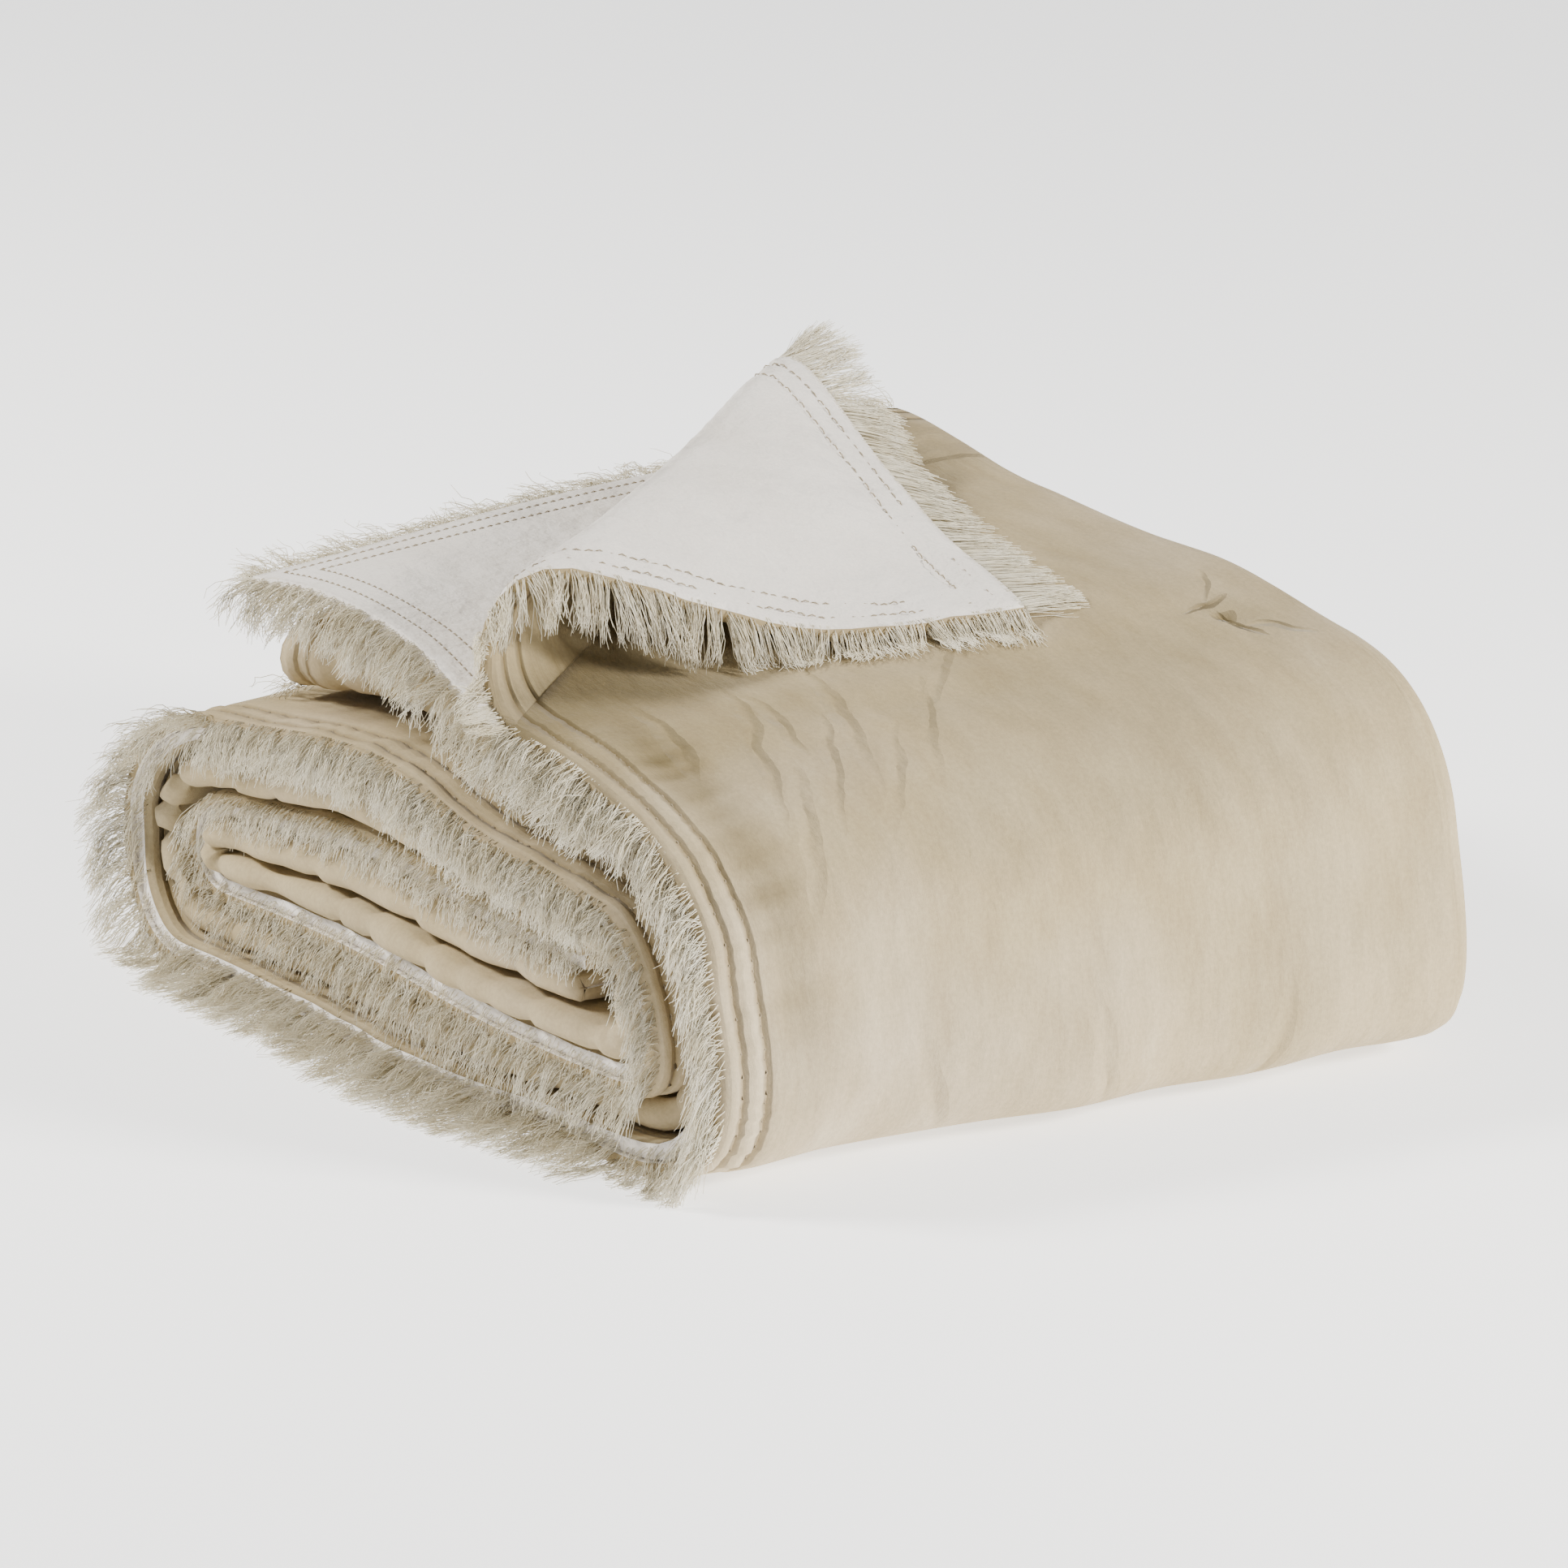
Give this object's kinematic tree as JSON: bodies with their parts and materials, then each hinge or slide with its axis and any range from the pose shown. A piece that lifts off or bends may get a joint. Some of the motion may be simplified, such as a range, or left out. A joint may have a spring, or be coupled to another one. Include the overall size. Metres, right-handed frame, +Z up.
{
  "type": "folded and rolled bedspread",
  "caption": "Quilted beige bedspread with a frayed thread fringe, folded to a quarter of its width and rolled up flat, with one corner turned back to show its off-white lining.",
  "frame": {"origin": "middle of the bundle's footprint, on the surface that it rests on", "axes": "+X across the bundle towards its rounded outer fold, +Y along the axis of the roll away from the fringed hems, +Z up"},
  "size_m": [0.5959, 0.5392, 0.2938],
  "materials": {
    "velvet": "matte",
    "lining": "matte",
    "thread": "matte"
  },
  "bodies": {
    "root": {"fringe_bottom_inner": "thread", "fringe_bottom_outer": "thread", "fringe_core_inner": "thread", "fringe_core_outer": "thread", "fringe_corner_end": "thread", "fringe_corner_near": "thread", "fringe_end_1": "thread", "fringe_end_2": "thread", "fringe_end_3": "thread", "fringe_end_4": "thread", "fringe_flap_inner": "thread", "fringe_flap_outer": "thread", "fringe_left_inner_inner": "thread", "fringe_left_inner_outer": "thread", "fringe_left_outer_inner": "thread", "fringe_left_outer_outer": "thread", "fringe_lower_inner": "thread", "fringe_lower_outer": "thread", "fringe_right_inner_inner": "thread", "fringe_right_inner_outer": "thread", "fringe_right_outer_inner": "thread", "fringe_right_outer_outer": "thread", "fringe_upper_inner": "thread", "fringe_upper_outer": "thread", "quilt": "velvet"}
  },
  "joints": []
}
